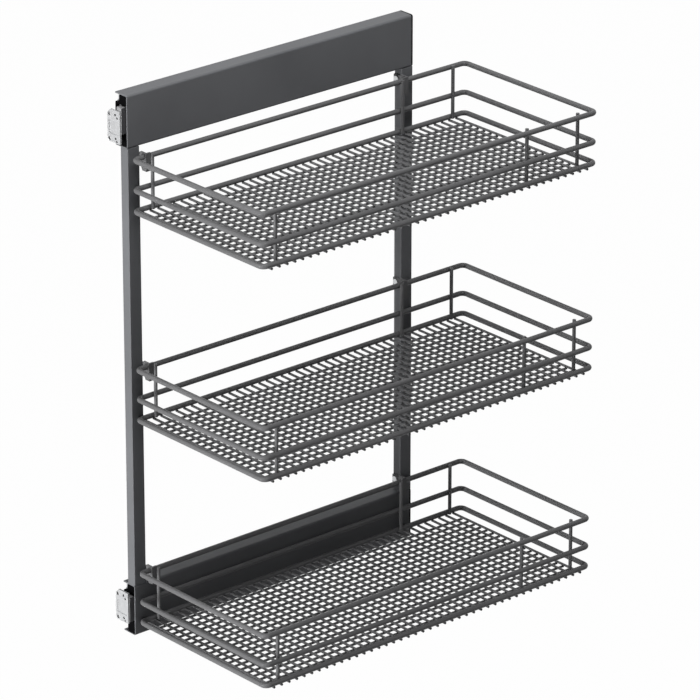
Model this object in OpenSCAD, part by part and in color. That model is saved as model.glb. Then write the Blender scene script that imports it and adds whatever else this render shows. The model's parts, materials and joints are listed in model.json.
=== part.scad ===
// Base cabinet pull-out organizer: a frame on two wall runners carrying three wire baskets.
// X points away from the cabinet wall, Y to the rear of the cabinet, Z up.
// The origin is on the wall, midway between the two screw holes of the upper wall rail.

/* [Frame] */
// Length of the frame along the pull, with its rear caps
frame_len = 396; // [375:0.5:460]
// Height of each profile
profile_h = 59; // [54:0.5:70]
// Depth of the profiles and of the posts, away from the wall
profile_depth = 12; // [11.5:0.5:20]
// Wall of the profiles and posts
profile_wall = 1.5; // [1:0.1:2]
// Reach of the thin lips back over the runner
lip_reach = 7.5; // [4:0.5:11]
// Height between the two runners
frame_drop = 561; // [480:1:700]
// Width of each post along the pull
post_w = 15.5; // [13:0.5:26]
// Thickness of the rear caps
cap_t = 2; // [2:0.5:5]

/* [Baskets] */
// Length of a basket along the pull
basket_len = 470; // [420:1:520]
// Width of a basket
basket_w = 215; // [90:1:420]
// Bottom rim of the lowest basket, below the lower runner's middle
low_rim = 12; // [0:0.5:16]
// Middle rim below the top rim
middle_drop = 33.5; // [20:0.5:44]
// Bottom rim below the top rim
bottom_drop = 57.5; // [52:0.5:90]
// Thickness of the rim wire
rim_d = 5.8; // [4:0.1:6]
// Bend of the rims at the corners, to the middle of the wire
corner_r = 6; // [5:0.5:20]
// Thickness of the uprights
upright_d = 4; // [3:0.1:5]
// Thickness of the floor wires
wire_d = 2.8; // [2:0.1:4]
// Spacing of the floor wires
mesh_pitch = 10.5; // [8:0.1:20]
// How far the cross wires end short of the outer line of the long rims
cross_short = 2; // [0:0.1:3]
// Space between the frame and the rims
rim_gap = 3; // [2:0.1:5]
// How far a basket lifts to come off its pins
lift = 7; // [6:0.5:10]

/* [Runners] */
// Height of the wall rails
rail_h = 45; // [43:0.5:48]
// Sheet thickness of the runner members
rail_t = 1.5; // [1.2:0.1:1.6]
// Distance between the two screw holes of a wall rail
hole_span = 320; // [256:32:320]
// Radius of the screw holes
hole_r = 2.3; // [2:0.1:2.6]
// Radius of the balls
ball_r = 1.6; // [1.4:0.05:1.7]
// Balls in one row of a cage
ball_count = 9; // [5:1:9]

/* [Door brackets] */
// Width of the bracket plate
plate_w = 21; // [20:0.1:23]
// Height of the bracket plate
plate_h = 36; // [34:1:44]
// Distance between the two door screw holes
door_holes = 27.5; // [20:0.5:28]
// Space between the profile and the back of the plate
plate_gap = 6; // [4:0.1:12]
// Middle of the upper plate, above the upper profile's middle
upper_plate_z = -5.5; // [-6:0.5:4]
// Middle of the lower plate, above the lower profile's middle
lower_plate_z = 4; // [-6:0.5:4]

/* [Hidden] */
$fn = 48;

// Small clearance between pieces that sit together, and between pieces that run together.
seat = 0.1;
play = 0.3;

// Runner section. Each list runs outwards from the wall.
// The wall rail is nested round a cage, the middle rail, a second cage and the slide rail.
cage_t = 0.6;
web_gap = 0.25;
runner_room = 9.7;
outer_ball_in = 2.4;
inner_ball_in = 4.7;
lip_clear = 1.7;
wall_lip_w = 1.2;
middle_lip_w = 1.1;
lip_short = 0.5;
outer_cage_x = rail_t + web_gap;
middle_x = outer_cage_x + cage_t + web_gap;
inner_cage_x = middle_x + rail_t + web_gap;
slide_face_x = 2 * rail_t + runner_room;
slide_web_x = slide_face_x - rail_t;
ball_play = 0.05;
groove_r = ball_r + ball_play;
groove_deep = 0.6;
flange_gap = 2 * (ball_r - groove_deep);
wall_in_z = rail_h / 2 - rail_t;
middle_z = wall_in_z - flange_gap;
middle_in_z = middle_z - rail_t;
slide_z = middle_in_z - flange_gap;
outer_ball_x = middle_x + outer_ball_in;
inner_ball_x = middle_x + inner_ball_in;
outer_ball_z = wall_in_z - flange_gap / 2;
inner_ball_z = middle_in_z - flange_gap / 2;
wall_lip_x = outer_ball_x + ball_r + lip_clear;
wall_rail_x = wall_lip_x + wall_lip_w;
middle_rail_x = slide_web_x - play;
middle_lip_x = middle_rail_x - middle_lip_w;
slide_flange_x = inner_cage_x + cage_t + 0.55;

// Places along the pull, from the door end of the frame.
rail_set = 8;
middle_set = 5;
rail_len = frame_len - 6;
buffer_t = 5.2;
middle_len = rail_set + rail_len - buffer_t - play - middle_set;
slide_set = 1;
collar_t = 3;
hole_in = (rail_len - hole_span) / 2;
door_y = -(rail_set + hole_in + hole_span / 2);
slide_len = middle_set + middle_len - slide_set;
cage_len = 180;
cage_set = (frame_len - cage_len) / 2 + 2;
ball_step = 20;
profile_len = frame_len - cap_t;

// Places away from the wall.
profile_x = slide_face_x;
face_x = profile_x + profile_depth;
basket_x = face_x + rim_gap;
hollow_x = profile_x + profile_depth / 2;
hollow_w = profile_depth - 2 * profile_wall;
inner_x0 = hollow_x - hollow_w / 2 + seat;
inner_x1 = hollow_x + hollow_w / 2 - seat;
lip_t = 1.5;
edge_r = 1.6 * profile_wall;

// Fasteners of the frame.
rivet_r = 2;
rivet_head_t = 1.2;
rivet_places = [62, 158, 238, 334];
screw_r = 1.95;
screw_head_r = 3.6;
screw_head_h = 2.4;
plug_len = 8;
cap_plug_len = 8;
block_len = 12;
block_end = profile_h / 2 - profile_wall - seat;
flange_t = 0.8;
pin_r = 2;
pin_head_r = 3.5;
pin_drop = 1;
hook_t = 2;
hook_over = 4.5;
pad_t = rim_gap - seat;
pad_w = 6;
pad_up = 0.4;
pad_h = 4;
hook_drop = 9;

// Door brackets.
plate_t = 2;
panel_deep = 0.6;
door_drop = -1.25;
arm_len = 24;
arm_w = hollow_w - 1;
arm_h = 29;
arm_up = 2;
block_gap = 1.3;
arm_slant = 4;
wedge_len = 9;
clamp_r = 1.25;
clamp_head_r = 2;
clamp_in = 16.1;
clamp_above = 10.1;
plate_side = 2.4;
plate_x = profile_x + profile_depth - plate_side - plate_w;
plate_y = -plate_gap - plate_t;
clamp_x = plate_x + clamp_in;

// Heights of the baskets. The top one lifts off without meeting the upper profile.
basket_top = profile_h / 2 + lift + hook_over - pin_drop + 0.5;
basket_pitch = (frame_drop + low_rim - basket_top - bottom_drop) / 2;

// Floor wires.
rim_r = rim_d / 2;
upright_x = rim_d + upright_d / 2 + seat / 2;
upright_in = post_w + 8.5;
upright_end = 24.8;
upright_side = rim_d + upright_d + seat;
cross_z = -bottom_drop - rim_r - wire_d / 2 - seat / 2;
long_z = cross_z - wire_d - seat;
cross_count = floor((basket_len - 2 * (corner_r + rim_r + 2.5)) / mesh_pitch) + 1;
cross_first = (basket_len - (cross_count - 1) * mesh_pitch) / 2;
long_back = 15.6;
long_count = floor((basket_w - long_back - upright_side - wire_d / 2) / mesh_pitch) + 1;

// A box between two corners.
module bar(x0, x1, y0, y1, z0, z1) {
  translate([x0, y0, z0]) cube([x1 - x0, y1 - y0, z1 - z0]);
}

// Extrudes a section in X and Z along the pull, from y0.
module along(y0, length) {
  translate([0, y0 + length, 0]) rotate([90, 0, 0]) linear_extrude(height = length) children();
}

// Draws a section and its mirror image below.
module both() {
  children();
  mirror([0, 1]) children();
}

// Places a piece on the upper or lower runner, from the door end of the frame.
module runner(lower) {
  translate([0, door_y, lower ? -frame_drop : 0]) children();
}

module rod_y(x, y0, z, r, length) {
  translate([x, y0, z]) rotate([-90, 0, 0]) cylinder(r = r, h = length);
}

module rod_x(x0, y, z, r, length) {
  translate([x0, y, z]) rotate([0, 90, 0]) cylinder(r = r, h = length);
}

module rod_z(x, y, z0, r, length) {
  translate([x, y, z0]) cylinder(r = r, h = length);
}

// A rectangle with rounded corners, its first corner at the given place.
module rounded(x, y, w, h, r) {
  translate([x + r, y]) square([w - 2 * r, h]);
  translate([x, y + r]) square([w, h - 2 * r]);
  for (i = [r, w - r], j = [r, h - r]) translate([x + i, y + j]) circle(r = r);
}

// Runner members

module wall_rail_section() {
  difference() {
    both() {
      translate([0, 0]) square([rail_t, rail_h / 2]);
      translate([0, wall_in_z]) square([wall_rail_x, rail_t]);
      translate([wall_lip_x, middle_z + lip_short])
        square([wall_lip_w, flange_gap + rail_t - lip_short]);
    }
    both() translate([outer_ball_x, outer_ball_z]) circle(r = groove_r);
  }
}

module wall_rail() {
  color("silver") difference() {
    along(rail_set, rail_len) wall_rail_section();
    for (y = [0, hole_span]) {
      rod_x(-1, rail_set + hole_in + y, 0, hole_r, rail_t + 2);
      translate([rail_t - 1, rail_set + hole_in + y, 0])
        rotate([0, 90, 0]) cylinder(r1 = hole_r, r2 = hole_r + 2, h = 1.01);
    }
  }
}

module middle_rail_section() {
  difference() {
    both() {
      translate([middle_x, 0]) square([rail_t, middle_z]);
      translate([middle_x, middle_in_z]) square([middle_rail_x - middle_x, rail_t]);
      translate([middle_lip_x, slide_z + lip_short])
        square([middle_lip_w, middle_z - slide_z - lip_short]);
    }
    both() translate([outer_ball_x, outer_ball_z]) circle(r = groove_r);
    both() translate([inner_ball_x, inner_ball_z]) circle(r = groove_r);
  }
}

module middle_rail() {
  color("silver") difference() {
    along(middle_set, middle_len) middle_rail_section();
    for (y = [0, hole_span]) rod_x(middle_x - 1, rail_set + hole_in + y, 0, hole_r + 3, rail_t + 2);
  }
}

module slide_rail_section() {
  difference() {
    both() {
      translate([slide_web_x, 0]) square([rail_t, slide_z]);
      translate([slide_flange_x, slide_z - rail_t]) square([slide_face_x - slide_flange_x, rail_t]);
    }
    both() translate([inner_ball_x, inner_ball_z]) circle(r = groove_r);
  }
}

// The flanges start behind the collar, the web at the door end.
module slide_rail() {
  color("silver") difference() {
    along(slide_set, slide_len) slide_rail_section();
    bar(0, slide_web_x, 0, middle_set + play, -slide_z - 1, slide_z + 1);
    for (y = rivet_places) rod_x(slide_web_x - 1, y, 0, rivet_r + seat / 2, rail_t + 2);
  }
}

// A ball cage: a thin channel with a hole for each ball.
module cage(x, ball_x, ball_z, end_x) {
  color("dimgray") difference() {
    along(cage_set, cage_len) both() {
      translate([x, 0]) square([cage_t, ball_z + cage_t / 2]);
      translate([x, ball_z - cage_t / 2]) square([end_x - x, cage_t]);
    }
    for (i = [0 : ball_count - 1], s = [-1, 1]) {
      rod_z(ball_x, ball_y(i), s * ball_z - cage_t, ball_r + seat, 2 * cage_t);
    }
  }
}

function ball_y(i) = cage_set + cage_len / 2 + (i - (ball_count - 1) / 2) * ball_step;

module balls(ball_x, ball_z) {
  color("silver") for (i = [0 : ball_count - 1], s = [-1, 1]) {
    translate([ball_x, ball_y(i), s * ball_z]) sphere(r = ball_r);
  }
}

module outer_cage() {
  cage(outer_cage_x, outer_ball_x, outer_ball_z, wall_lip_x - 0.4);
}

module outer_balls() {
  balls(outer_ball_x, outer_ball_z);
}

module inner_cage() {
  cage(inner_cage_x, inner_ball_x, inner_ball_z, middle_lip_x - 0.3);
}

module inner_balls() {
  balls(inner_ball_x, inner_ball_z);
}

// Black collar on the front end of a middle rail. The slide rail passes through its slots.
module collar() {
  top = middle_z - 0.5;
  color("black") along(middle_set - collar_t, collar_t) difference() {
    rounded(middle_x, -top, middle_rail_x - middle_x, 2 * top, 2.2);
    translate([slide_web_x - rivet_head_t - play, -slide_z - play]) square([20, 2 * (slide_z + play)]);
    both() translate([slide_flange_x - play, slide_z - rail_t - play]) square([20, rail_t + 2 * play]);
  }
}

module rear_buffers() {
  for (lower = [false, true]) runner(lower) color("black")
    bar(rail_t, wall_lip_x - play, rail_set + rail_len - buffer_t, rail_set + rail_len,
        -wall_in_z + seat, wall_in_z - seat);
}

module slide_rivets() {
  for (lower = [false, true]) runner(lower) color("gray") for (y = rivet_places) {
    rod_x(slide_web_x - rivet_head_t, y, 0, rivet_r + 1.5, rivet_head_t);
    rod_x(slide_web_x - 0.5, y, 0, rivet_r, rail_t + profile_wall + 1);
    rod_x(profile_x + profile_wall, y, 0, rivet_r + 1, 1.2);
  }
}

// Frame

// The outer line of a profile, its front corners rounded, with its two lips.
module profile_outline() {
  rounded(profile_x, -profile_h / 2, profile_depth, profile_h, edge_r);
  translate([profile_x, -profile_h / 2]) square([profile_depth / 2, profile_h]);
  for (z = [-profile_h / 2, profile_h / 2 - lip_t])
    translate([profile_x - lip_reach, z]) square([lip_reach + 1, lip_t]);
}

module profile_section() {
  difference() {
    profile_outline();
    translate([profile_x + profile_wall, -profile_h / 2 + profile_wall])
      square([hollow_w, profile_h - 2 * profile_wall]);
  }
}

module profile(up) {
  color("dimgray") difference() {
    along(0, profile_len) profile_section();
    for (y = rivet_places) rod_x(profile_x - 1, y, 0, rivet_r + seat / 2, profile_wall + 2);
    for (y = [post_w / 2, frame_len - post_w / 2]) {
      rod_z(hollow_x, y, up * (profile_h - profile_wall) / 2 - profile_wall, screw_r + 0.2,
            2 * profile_wall);
    }
  }
}

module rear_caps() {
  for (lower = [false, true]) runner(lower) color("black") {
    along(profile_len, cap_t) profile_outline();
    bar(inner_x0, inner_x1, profile_len - cap_plug_len, profile_len + 1,
        -screw_block_z, screw_block_z);
  }
}

// Half height left free in the hollow by the heads of the post screws.
screw_block_z = profile_h / 2 - profile_wall - screw_head_h - 0.6;

// Black blocks above and below the bracket arm, each with a flange over the end of the profile.
module door_blocks() {
  for (lower = [false, true]) runner(lower) color("black") {
    block(arm_up + arm_h / 2 + block_gap, lower ? screw_block_z : block_end, block_end);
    block(arm_up - arm_h / 2 - block_gap, lower ? -block_end : -screw_block_z, -block_end);
  }
}

module block(a, b, flange_b) {
  bar(inner_x0, inner_x1, -0.5, block_len, min(a, b), max(a, b));
  bar(profile_x, inner_x1 + seat + 0.2, -flange_t - seat, -seat, min(a, flange_b), max(a, flange_b));
}

// A post, from the top of the lower profile to the underside of the upper one.
module post(y0, inner_y) {
  runner(false) color("dimgray") difference() {
    translate([0, 0, -frame_drop + profile_h / 2]) linear_extrude(height = frame_drop - profile_h)
      difference() {
        rounded(profile_x, y0, profile_depth, post_w, 0.6);
        translate([profile_x + profile_wall, y0 + profile_wall])
          square([hollow_w, post_w - 2 * profile_wall]);
      }
    for (k = [0 : 2]) rod_y(hollow_x, inner_y - 2, pin_z(k), pin_r + seat / 2, 4);
  }
}

function pin_z(k) = -basket_top - pin_drop - k * basket_pitch;

module door_post() {
  post(0, post_w);
}

module rear_post() {
  post(frame_len - post_w, frame_len - post_w);
}

module post_plugs() {
  runner(false) color("gray") for (y = [post_w / 2, frame_len - post_w / 2]) {
    plug(y, -profile_h / 2 - plug_len);
    plug(y, -frame_drop + profile_h / 2);
  }
}

module plug(y, z) {
  w = post_w - 2 * profile_wall - 2 * seat;
  difference() {
    bar(inner_x0, inner_x1, y - w / 2, y + w / 2, z, z + plug_len);
    rod_z(hollow_x, y, z - 1, screw_r + seat / 2, plug_len + 2);
  }
}

module post_screws() {
  runner(false) color("silver") for (y = [post_w / 2, frame_len - post_w / 2]) {
    post_screw(y, -profile_h / 2 + profile_wall, 1);
    post_screw(y, -frame_drop + profile_h / 2 - profile_wall, -1);
  }
}

// One screw, its head on the inside of a profile's wall at height z.
module post_screw(y, z, up) {
  translate([hollow_x, y, z]) mirror([0, 0, up > 0 ? 0 : 1]) difference() {
    union() {
      cylinder(r = screw_head_r, h = screw_head_h);
      translate([0, 0, -plug_len]) cylinder(r = screw_r, h = plug_len + 0.5);
    }
    translate([0, 0, screw_head_h - 1.2]) cylinder(r = 1.3, h = 2);
  }
}

// Shoulder pins on the inner sides of the posts.
module hook_pins() {
  runner(false) color("silver") {
    pins_of_post();
    translate([0, frame_len, 0]) mirror([0, 1, 0]) pins_of_post();
  }
}

module pins_of_post() {
  for (k = [0 : 2]) {
    rod_y(hollow_x, post_w - profile_wall - 1, pin_z(k), pin_r + 1, 1);
    rod_y(hollow_x, post_w - profile_wall - 0.5, pin_z(k), pin_r, profile_wall + hook_t + 1);
    rod_y(hollow_x, post_w + hook_t + 0.5, pin_z(k), pin_head_r, 1.2);
  }
}

// Pads on the posts and on the lower profile, where the bottom rims lean.
module rest_pads() {
  runner(false) color("black") for (k = [0 : 2]) {
    z = -basket_top - bottom_drop - k * basket_pitch + pad_up;
    for (y = [post_w - 0.5 - pad_w, frame_len - post_w + 0.5])
      bar(face_x, face_x + pad_t, y, y + pad_w, z - pad_h, z);
  }
}

// Door brackets

module bracket_plate(plate_z) {
  cut_top = 5;
  cut_low = 2.5;
  color("gainsboro") translate([plate_x, 0, plate_z]) difference() {
    along(plate_y, plate_t) polygon([
      [cut_top, plate_h / 2], [plate_w, plate_h / 2], [plate_w, -plate_h / 2], [cut_low, -plate_h / 2],
      [0, -plate_h / 2 + cut_low], [0, plate_h / 2 - cut_top]]);
    for (s = [-1, 1]) rod_y(3.6, plate_y - 1, door_drop + s * door_holes / 2, 2, plate_t + 2);
    rod_y(13.3, plate_y - 1, 13.1, 1.4, plate_t + 2);
    rod_y(13.6, plate_y - 1, -13.4, 1.4, plate_t + 2);
    rod_y(15.4, plate_y - 1, -16.1, 1.2, plate_t + 2);
    rod_y(clamp_in, plate_y - 1, clamp_above, 1.3, plate_t + 2);
    along(plate_y - 1, 1 + panel_deep) rounded(2.7, -8.9, plate_w - 4.8, 14.8, 1);
  }
}

// The arm runs into the profile. Its rear end is slanted for the wedge.
module bracket_arm(plate_z) {
  color("dimgray") difference() {
    translate([0, 0, arm_up - arm_h / 2]) linear_extrude(height = arm_h) polygon([
      [hollow_x - arm_w / 2, -plate_gap + seat / 2], [hollow_x + arm_w / 2, -plate_gap + seat / 2],
      [hollow_x + arm_w / 2, arm_len], [hollow_x - arm_w / 2, arm_len - arm_slant]]);
    rod_y(clamp_x, -20, plate_z + clamp_above, clamp_r + seat, 60);
    rod_y(clamp_x, -plate_gap - 1, plate_z + clamp_above, clamp_head_r + seat, 2.7);
  }
}

// The head of the clamp screw sits in the arm and is reached through the plate.
module clamp_screw(plate_z) {
  color("silver") translate([clamp_x, 0, plate_z + clamp_above]) difference() {
    union() {
      rod_y(0, -plate_gap + 0.2, 0, clamp_head_r, 1.4);
      rod_y(0, -plate_gap + 1, 0, clamp_r, plate_gap + arm_len + wedge_len - 2);
    }
    rod_y(0, -plate_gap - 1, 0, 1, 2);
  }
}

// The wedge behind the arm, drawn against its slanted end by the clamp screw.
module wedge(plate_z) {
  color("gray") difference() {
    translate([0, 0, arm_up - arm_h / 2]) linear_extrude(height = arm_h) polygon([
      [hollow_x - arm_w / 2, arm_len - arm_slant + seat], [hollow_x + arm_w / 2, arm_len + seat],
      [hollow_x + arm_w / 2, arm_len + wedge_len], [hollow_x - arm_w / 2, arm_len + wedge_len]]);
    rod_y(clamp_x, 0, plate_z + clamp_above, clamp_r + seat / 2, 60);
  }
}

// Baskets

module basket(k) {
  translate([basket_x, door_y, -basket_top - (k - 1) * basket_pitch]) children();
}

// A closed wire rim at height z.
module rim(z) {
  x0 = rim_r;
  x1 = basket_w - rim_r;
  y0 = rim_r;
  y1 = basket_len - rim_r;
  c = corner_r;
  color("dimgray") {
    for (x = [x0, x1]) rod_y(x, y0 + c, z, rim_r, y1 - y0 - 2 * c);
    for (y = [y0, y1]) rod_x(x0 + c, y, z, rim_r, x1 - x0 - 2 * c);
    corner(x1 - c, y1 - c, z, 0);
    corner(x0 + c, y1 - c, z, 90);
    corner(x0 + c, y0 + c, z, 180);
    corner(x1 - c, y0 + c, z, 270);
  }
}

module corner(x, y, z, a) {
  translate([x, y, z]) rotate([0, 0, a]) rotate_extrude(angle = 90)
    translate([corner_r, 0]) circle(r = rim_r);
}

// Uprights inside the long sides: one by each post and one near the rear end.
module uprights() {
  color("dimgray") for (x = [upright_x, basket_w - upright_x]) {
    for (y = [upright_in, frame_len - upright_in, basket_len - upright_end]) {
      rod_z(x, y, -bottom_drop - 0.5, upright_d / 2, bottom_drop + 3.5);
    }
  }
}

module cross_wires() {
  color("dimgray") for (i = [0 : cross_count - 1]) {
    rod_x(cross_short, cross_first + i * mesh_pitch, cross_z, wire_d / 2, basket_w - 2 * cross_short);
  }
}

// The long wires lie under the cross wires and end level with the first and the last one.
module long_wires() {
  color("dimgray") for (i = [0 : long_count - 1]) {
    rod_y(long_back + i * mesh_pitch, cross_first - wire_d / 2, long_z, wire_d / 2,
          (cross_count - 1) * mesh_pitch + wire_d);
  }
}

// Two sheet hooks, each welded round the top rim beside a post.
module hooks() {
  color("dimgray") {
    hook();
    translate([0, frame_len, 0]) mirror([0, 1, 0]) hook();
  }
}

module hook() {
  y0 = post_w + 0.2;
  pin_x = hollow_x - basket_x;
  plate_x = rim_d + seat / 2;
  slot_r = pin_r + 0.15;
  foot = pin_r - pin_drop - lift;
  difference() {
    union() {
      along(y0, hook_t) polygon([
        [pin_x - 5, foot], [pin_x - 5, hook_over - pin_drop], [-rim_gap - 0.3, hook_over - pin_drop],
        [-rim_gap + 1, rim_r + 2.5], [plate_x + hook_t, rim_r + 2.5],
        [plate_x + hook_t, foot - hook_drop], [1, foot - hook_drop], [-rim_gap, foot]]);
      bar(plate_x, plate_x + hook_t, y0, upright_in - upright_d / 2 - seat, foot - hook_drop, rim_r + 2.5);
    }
    rod_y(rim_r, y0 - 1, 0, rim_r + seat / 2, hook_t + 2);
    rod_y(pin_x, y0 - 1, -pin_drop, slot_r, hook_t + 2);
    bar(pin_x - slot_r, pin_x + slot_r, y0 - 1, y0 + hook_t + 1, foot - 1, -pin_drop);
  }
}

runner(false) wall_rail();  // upper_wall_rail
runner(true) wall_rail();  // lower_wall_rail
rear_buffers();
runner(false) middle_rail();  // upper_middle_rail
runner(false) collar();  // upper_collar
runner(true) middle_rail();  // lower_middle_rail
runner(true) collar();  // lower_collar
runner(false) outer_cage();  // upper_outer_cage
runner(false) outer_balls();  // upper_outer_balls
runner(false) inner_cage();  // upper_inner_cage
runner(false) inner_balls();  // upper_inner_balls
runner(true) outer_cage();  // lower_outer_cage
runner(true) outer_balls();  // lower_outer_balls
runner(true) inner_cage();  // lower_inner_cage
runner(true) inner_balls();  // lower_inner_balls
runner(false) slide_rail();  // upper_slide_rail
runner(true) slide_rail();  // lower_slide_rail
slide_rivets();
runner(false) profile(-1);  // upper_profile
runner(true) profile(1);  // lower_profile
rear_caps();
door_blocks();
door_post();
rear_post();
post_plugs();
post_screws();
hook_pins();
rest_pads();
runner(false) bracket_plate(upper_plate_z);  // upper_bracket_plate
runner(false) bracket_arm(upper_plate_z);  // upper_bracket_arm
runner(false) clamp_screw(upper_plate_z);  // upper_clamp_screw
runner(false) wedge(upper_plate_z);  // upper_wedge
runner(true) bracket_plate(lower_plate_z);  // lower_bracket_plate
runner(true) bracket_arm(lower_plate_z);  // lower_bracket_arm
runner(true) clamp_screw(lower_plate_z);  // lower_clamp_screw
runner(true) wedge(lower_plate_z);  // lower_wedge
basket(1) rim(0);  // top_rim_1
basket(1) rim(-middle_drop);  // middle_rim_1
basket(1) rim(-bottom_drop);  // bottom_rim_1
basket(1) uprights();  // uprights_1
basket(1) cross_wires();  // cross_wires_1
basket(1) long_wires();  // long_wires_1
basket(1) hooks();  // hooks_1
basket(2) rim(0);  // top_rim_2
basket(2) rim(-middle_drop);  // middle_rim_2
basket(2) rim(-bottom_drop);  // bottom_rim_2
basket(2) uprights();  // uprights_2
basket(2) cross_wires();  // cross_wires_2
basket(2) long_wires();  // long_wires_2
basket(2) hooks();  // hooks_2
basket(3) rim(0);  // top_rim_3
basket(3) rim(-middle_drop);  // middle_rim_3
basket(3) rim(-bottom_drop);  // bottom_rim_3
basket(3) uprights();  // uprights_3
basket(3) cross_wires();  // cross_wires_3
basket(3) long_wires();  // long_wires_3
basket(3) hooks();  // hooks_3
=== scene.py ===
import json
import math
import bpy
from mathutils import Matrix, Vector


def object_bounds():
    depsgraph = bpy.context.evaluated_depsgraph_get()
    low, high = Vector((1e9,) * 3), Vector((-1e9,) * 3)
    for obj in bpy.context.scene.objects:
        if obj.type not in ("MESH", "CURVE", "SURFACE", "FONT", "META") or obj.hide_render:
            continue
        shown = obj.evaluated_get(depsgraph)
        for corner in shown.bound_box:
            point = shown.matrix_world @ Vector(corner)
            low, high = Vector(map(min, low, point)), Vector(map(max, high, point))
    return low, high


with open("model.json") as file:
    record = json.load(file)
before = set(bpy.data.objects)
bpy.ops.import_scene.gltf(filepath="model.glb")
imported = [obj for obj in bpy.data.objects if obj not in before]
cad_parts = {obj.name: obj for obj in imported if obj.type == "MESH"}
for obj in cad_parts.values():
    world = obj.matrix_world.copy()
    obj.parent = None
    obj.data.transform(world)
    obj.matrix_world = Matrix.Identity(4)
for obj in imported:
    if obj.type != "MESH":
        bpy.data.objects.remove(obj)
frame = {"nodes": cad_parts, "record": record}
NODES = frame["nodes"]
CAD_BOX = [list(v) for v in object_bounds()]


def cleared_nodes(holder):
    """The emptied node tree of a material or of the world."""
    holder.use_nodes = True
    holder.node_tree.nodes.clear()
    return holder.node_tree


# ---------- materials ----------
# Noise scales are features per metre, bump distances are metres, colours are linear.

def new_material(name, specular=0.5, metallic=0.0):
    """A Principled material, with its nodes and the object's own coordinates."""
    m = bpy.data.materials.new(name)
    nt = cleared_nodes(m)
    out = nt.nodes.new("ShaderNodeOutputMaterial")
    bsdf = nt.nodes.new("ShaderNodeBsdfPrincipled")
    bsdf.inputs["Specular IOR Level"].default_value = specular
    bsdf.inputs["Metallic"].default_value = metallic
    nt.links.new(bsdf.outputs["BSDF"], out.inputs["Surface"])
    coord = nt.nodes.new("ShaderNodeTexCoord")
    return m, nt, bsdf, coord.outputs["Object"]


def scaled(nt, vector, scale):
    n = nt.nodes.new("ShaderNodeMapping")
    n.inputs["Scale"].default_value = scale
    nt.links.new(vector, n.inputs["Vector"])
    return n.outputs["Vector"]


def noise(nt, vector, scale, detail=2.0, rough=0.5):
    n = nt.nodes.new("ShaderNodeTexNoise")
    n.inputs["Scale"].default_value = scale
    n.inputs["Detail"].default_value = detail
    n.inputs["Roughness"].default_value = rough
    nt.links.new(vector, n.inputs["Vector"])
    return n.outputs["Fac"]


def shade(colour, factor):
    return [c * factor for c in colour]


def blend(nt, fac, low, high):
    """Colour that follows the noise; low and high are each a noise value and its colour."""
    n = nt.nodes.new("ShaderNodeValToRGB")
    for stop, (position, colour) in zip(n.color_ramp.elements, (low, high)):
        stop.position = position
        stop.color = (*colour, 1)
    nt.links.new(fac, n.inputs["Fac"])
    return n.outputs["Color"]


def span(nt, fac, lo, hi):
    n = nt.nodes.new("ShaderNodeMapRange")
    n.inputs["To Min"].default_value = lo
    n.inputs["To Max"].default_value = hi
    nt.links.new(fac, n.inputs["Value"])
    return n.outputs["Result"]


def relief(nt, height, strength, distance, under=None):
    """Bump from a height, on top of an earlier bump where one is given."""
    n = nt.nodes.new("ShaderNodeBump")
    n.inputs["Strength"].default_value = strength
    n.inputs["Distance"].default_value = distance
    nt.links.new(height, n.inputs["Height"])
    if under:
        nt.links.new(under, n.inputs["Normal"])
    return n.outputs["Normal"]


def dress(nt, bsdf, tone, rough, normal):
    nt.links.new(tone, bsdf.inputs["Base Color"])
    nt.links.new(rough, bsdf.inputs["Roughness"])
    nt.links.new(normal, bsdf.inputs["Normal"])


def powder_coat(name, colour, rough, grain, specular):
    """Grey powder coat: fine orange peel, slight drift of tone and gloss."""
    m, nt, bsdf, obj = new_material(name, specular)
    tone = blend(nt, noise(nt, obj, scale=9, detail=3),
                 low=(0.3, shade(colour, 0.9)), high=(0.7, shade(colour, 1.1)))
    gloss = span(nt, noise(nt, obj, scale=35, detail=3), rough - 0.06, rough + 0.06)
    peel = relief(nt, noise(nt, obj, scale=grain), strength=0.25, distance=0.00012)
    dust = relief(nt, noise(nt, obj, scale=grain * 3.5, detail=1),
                  strength=0.2, distance=0.00004, under=peel)
    dress(nt, bsdf, tone, gloss, dust)
    return m


def zinc(name, colour, rough):
    """Zinc plate on rolled strip, drawn along the runner, which lies along Y."""
    m, nt, bsdf, obj = new_material(name, metallic=1.0)
    along = scaled(nt, obj, (1.0, 0.04, 1.0))
    tone = blend(nt, noise(nt, along, scale=900, detail=3),
                 low=(0.3, shade(colour, 0.8)), high=(0.7, colour))
    gloss = span(nt, noise(nt, obj, scale=60), rough - 0.06, rough + 0.08)
    lines = relief(nt, noise(nt, along, scale=1500), strength=0.12, distance=0.00005)
    dress(nt, bsdf, tone, gloss, lines)
    return m


def painted_lit_side_tone(nt, tone, painted_lit_tone):
    """Painted light: mixes a lighter tone in where a face looks to the door or up, standing in
    for the light falling there.
    """
    geometry = nt.nodes.new("ShaderNodeNewGeometry")
    painted_light_mask = nt.nodes.new("ShaderNodeVectorMath")
    painted_light_mask.operation = "DOT_PRODUCT"
    painted_light_mask.inputs[1].default_value = (0, -1, 1)
    nt.links.new(geometry.outputs["True Normal"], painted_light_mask.inputs[0])
    mix = nt.nodes.new("ShaderNodeMixRGB")
    mix.inputs["Color2"].default_value = (*painted_lit_tone, 1)
    nt.links.new(painted_light_mask.outputs["Value"], mix.inputs["Fac"])
    nt.links.new(tone, mix.inputs["Color1"])
    return mix.outputs["Color"]


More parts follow.
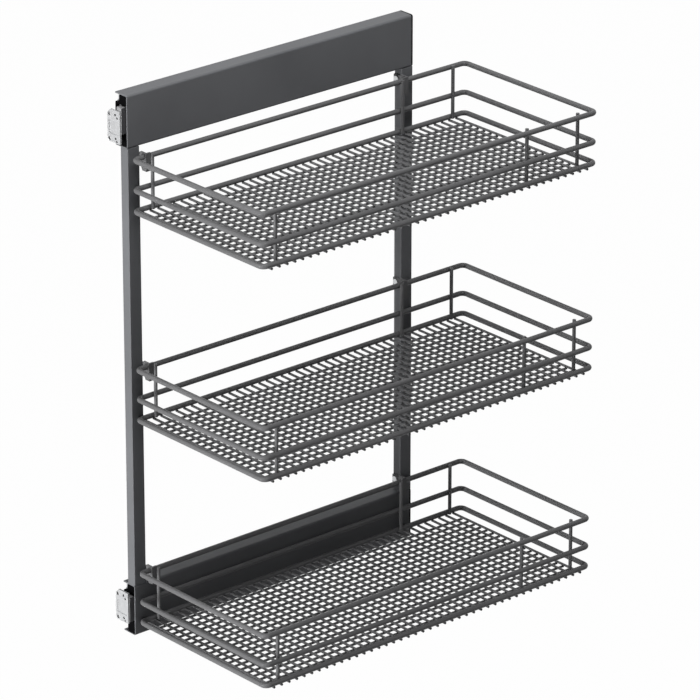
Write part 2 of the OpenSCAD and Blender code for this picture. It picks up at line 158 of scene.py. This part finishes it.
def casting(name, colour, rough, specular, metallic, painted_lit_tone=None):
    """Pressure casting: faint mottling and a fine blasted grain.

    The optional last argument is a lighter tone painted on its door side and top, standing in for
    the light that falls there.
    """
    m, nt, bsdf, obj = new_material(name, specular, metallic)
    tone = blend(nt, noise(nt, obj, scale=160, detail=4, rough=0.6),
                 low=(0.35, shade(colour, 0.9)), high=(0.65, colour))
    if painted_lit_tone:
        tone = painted_lit_side_tone(nt, tone, painted_lit_tone)
    gloss = span(nt, noise(nt, obj, scale=90), rough - 0.05, rough + 0.08)
    grain = relief(nt, noise(nt, obj, scale=2600), strength=0.25, distance=0.00006)
    dress(nt, bsdf, tone, gloss, grain)
    return m


def plastic(name, colour, rough, specular):
    """Moulded plastic with a fine spark-eroded grain."""
    m, nt, bsdf, obj = new_material(name, specular)
    tone = blend(nt, noise(nt, obj, scale=40, detail=3),
                 low=(0.35, colour), high=(0.7, shade(colour, 1.5)))
    gloss = span(nt, noise(nt, obj, scale=300), rough - 0.05, rough + 0.05)
    grain = relief(nt, noise(nt, obj, scale=3500, detail=1), strength=0.3, distance=0.00005)
    dress(nt, bsdf, tone, gloss, grain)
    return m


LOOKS = {
    "grey_coating": powder_coat(
        "grey_powder_coat", (0.125, 0.128, 0.135), rough=0.5, grain=900, specular=0.15),
    "grey_wire": powder_coat(
        "grey_wire_coat", (0.122, 0.122, 0.125), rough=0.33, grain=1400, specular=0.1),
    "zinc_steel": zinc("zinc_plated_steel", (0.60, 0.61, 0.62), rough=0.38),
    "bright_steel": zinc("ground_ball_steel", (0.75, 0.75, 0.76), rough=0.15),
    "cast_plate": casting(
        "nickel_plated_casting", (0.38, 0.384, 0.39), rough=0.5, specular=0.12, metallic=0.03),
    # Painted shade and light: the dark tone stands in for the shade on this casting, and the
    # lighter tone on its door side and top stands in for the light falling there.
    "dark_casting": casting(
        "casting_painted_shade_and_light", (0.06, 0.06, 0.064), rough=0.5, specular=0.15, metallic=0.1,
        painted_lit_tone=(0.24, 0.24, 0.245)),
    "black_plastic": plastic(
        "black_plastic", (0.0012, 0.0012, 0.0015), rough=0.5, specular=0.015),
}
for sub in frame["record"]["subparts"]:
    materials = NODES[sub["node"]].data.materials
    materials.clear()
    materials.append(LOOKS[sub["material_slot"]])


# ---------- stage, light and camera ----------

WHITE = (1, 1, 1, 1)
FLOOR_SIZE = 14
FLOOR_DROP = 1.0  # from the lowest point of the part
FLOOR_GLOW = 0.985  # share of the floor's white that no shadow takes away


def mixed(nt, fac, first, second):
    """Second shader where fac is 1, first where it is 0."""
    n = nt.nodes.new("ShaderNodeMixShader")
    if isinstance(fac, float):
        n.inputs["Fac"].default_value = fac
    else:
        nt.links.new(fac, n.inputs["Fac"])
    nt.links.new(first.outputs[0], n.inputs[1])
    nt.links.new(second.outputs[0], n.inputs[2])
    return n


def coloured(nt, kind, colour):
    n = nt.nodes.new(kind)
    n.inputs["Color"].default_value = colour
    return n


def seen_directly(nt):
    """1 for the camera, for reflections and for glass, 0 for light that falls on the object."""
    path = nt.nodes.new("ShaderNodeLightPath")
    last = path.outputs["Is Camera Ray"]
    for kind in ("Is Glossy Ray", "Is Transmission Ray"):
        most = nt.nodes.new("ShaderNodeMath")
        most.operation = "MAXIMUM"
        nt.links.new(last, most.inputs[0])
        nt.links.new(path.outputs[kind], most.inputs[1])
        last = most.outputs[0]
    return last


def stage_material():
    """Pale floor that keeps the shadow and sends little light back up."""
    m = bpy.data.materials.new("pale_floor")
    nt = cleared_nodes(m)
    out = nt.nodes.new("ShaderNodeOutputMaterial")
    pale = coloured(nt, "ShaderNodeBsdfDiffuse", (0.93, 0.93, 0.93, 1))
    glow = coloured(nt, "ShaderNodeEmission", WHITE)
    glow.inputs["Strength"].default_value = 1.0
    seen = mixed(nt, FLOOR_GLOW, pale, glow)
    dull = coloured(nt, "ShaderNodeBsdfDiffuse", (0.3, 0.3, 0.3, 1))
    floor_shader = mixed(nt, seen_directly(nt), dull, seen)
    nt.links.new(floor_shader.outputs[0], out.inputs["Surface"])
    return m


def studio_world():
    """White to the eye. As light it is a soft sky, brighter from above, dim below the horizon."""
    world = bpy.data.worlds.new("studio")
    nt = cleared_nodes(world)
    out = nt.nodes.new("ShaderNodeOutputWorld")
    coord = nt.nodes.new("ShaderNodeTexCoord")
    axes = nt.nodes.new("ShaderNodeSeparateXYZ")
    nt.links.new(coord.outputs["Generated"], axes.inputs[0])
    sky = nt.nodes.new("ShaderNodeMapRange")
    sky.inputs["From Min"].default_value = -0.15
    sky.inputs["From Max"].default_value = 1.0
    sky.inputs["To Min"].default_value = 0.03
    sky.inputs["To Max"].default_value = 0.18
    nt.links.new(axes.outputs["Z"], sky.inputs["Value"])
    soft = coloured(nt, "ShaderNodeBackground", WHITE)
    nt.links.new(sky.outputs["Result"], soft.inputs["Strength"])
    white = coloured(nt, "ShaderNodeBackground", WHITE)
    white.inputs["Strength"].default_value = 1.0
    shader = mixed(nt, seen_directly(nt), soft, white)
    nt.links.new(shader.outputs[0], out.inputs["Surface"])
    return world


def softbox(name, place, target, width, height, watts):
    """Rectangular lamp that the camera doesn't see."""
    data = bpy.data.lights.new(name, "AREA")
    data.shape = "RECTANGLE"
    data.size = width
    data.size_y = height
    data.energy = watts
    o = bpy.data.objects.new(name, data)
    bpy.context.scene.collection.objects.link(o)
    o.location = place
    away = Vector(place) - Vector(target)
    o.rotation_euler = away.to_track_quat("Z", "Y").to_euler()
    o.visible_camera = False


def photo_camera():
    """Camera fitted to the basket wires of the photo."""
    data = bpy.data.cameras.new("camera")
    data.sensor_width = 36
    data.lens = 282.10
    data.clip_end = 50
    o = bpy.data.objects.new("camera", data)
    bpy.context.scene.collection.objects.link(o)
    o.location = (4.23398, -3.53100, 1.96977)
    tilt_down, turn = 22.5465, 49.194
    o.rotation_euler = (math.radians(90 - tilt_down), 0, math.radians(turn))
    return o


bpy.ops.mesh.primitive_plane_add(size=FLOOR_SIZE, location=(0, 0, CAD_BOX[0][2] - FLOOR_DROP))
floor = bpy.context.object
floor.name = "floor"
floor.data.materials.append(stage_material())

scene = bpy.context.scene
scene.world = studio_world()

# Narrow and in line with both posts, so that the door post shades the rear one, as in the photo.
# It stands far off, because the frame comes 0.4 m towards it.
softbox("door_side_softbox", place=(0.02, -3.2, -0.7), target=(0.02, 0.0, -0.38),
        width=0.15, height=1.8, watts=150)
softbox("overhead_softbox", place=(0.48, -0.20, 1.27), target=(0.08, -0.03, -0.15),
        width=1.2, height=0.5, watts=22)
softbox("room_side_fill", place=(1.25, -0.55, -0.45), target=(0.0, 0.0, -0.35),
        width=1.2, height=0.9, watts=1.6)

scene.camera = photo_camera()
scene.view_settings.view_transform = "Standard"
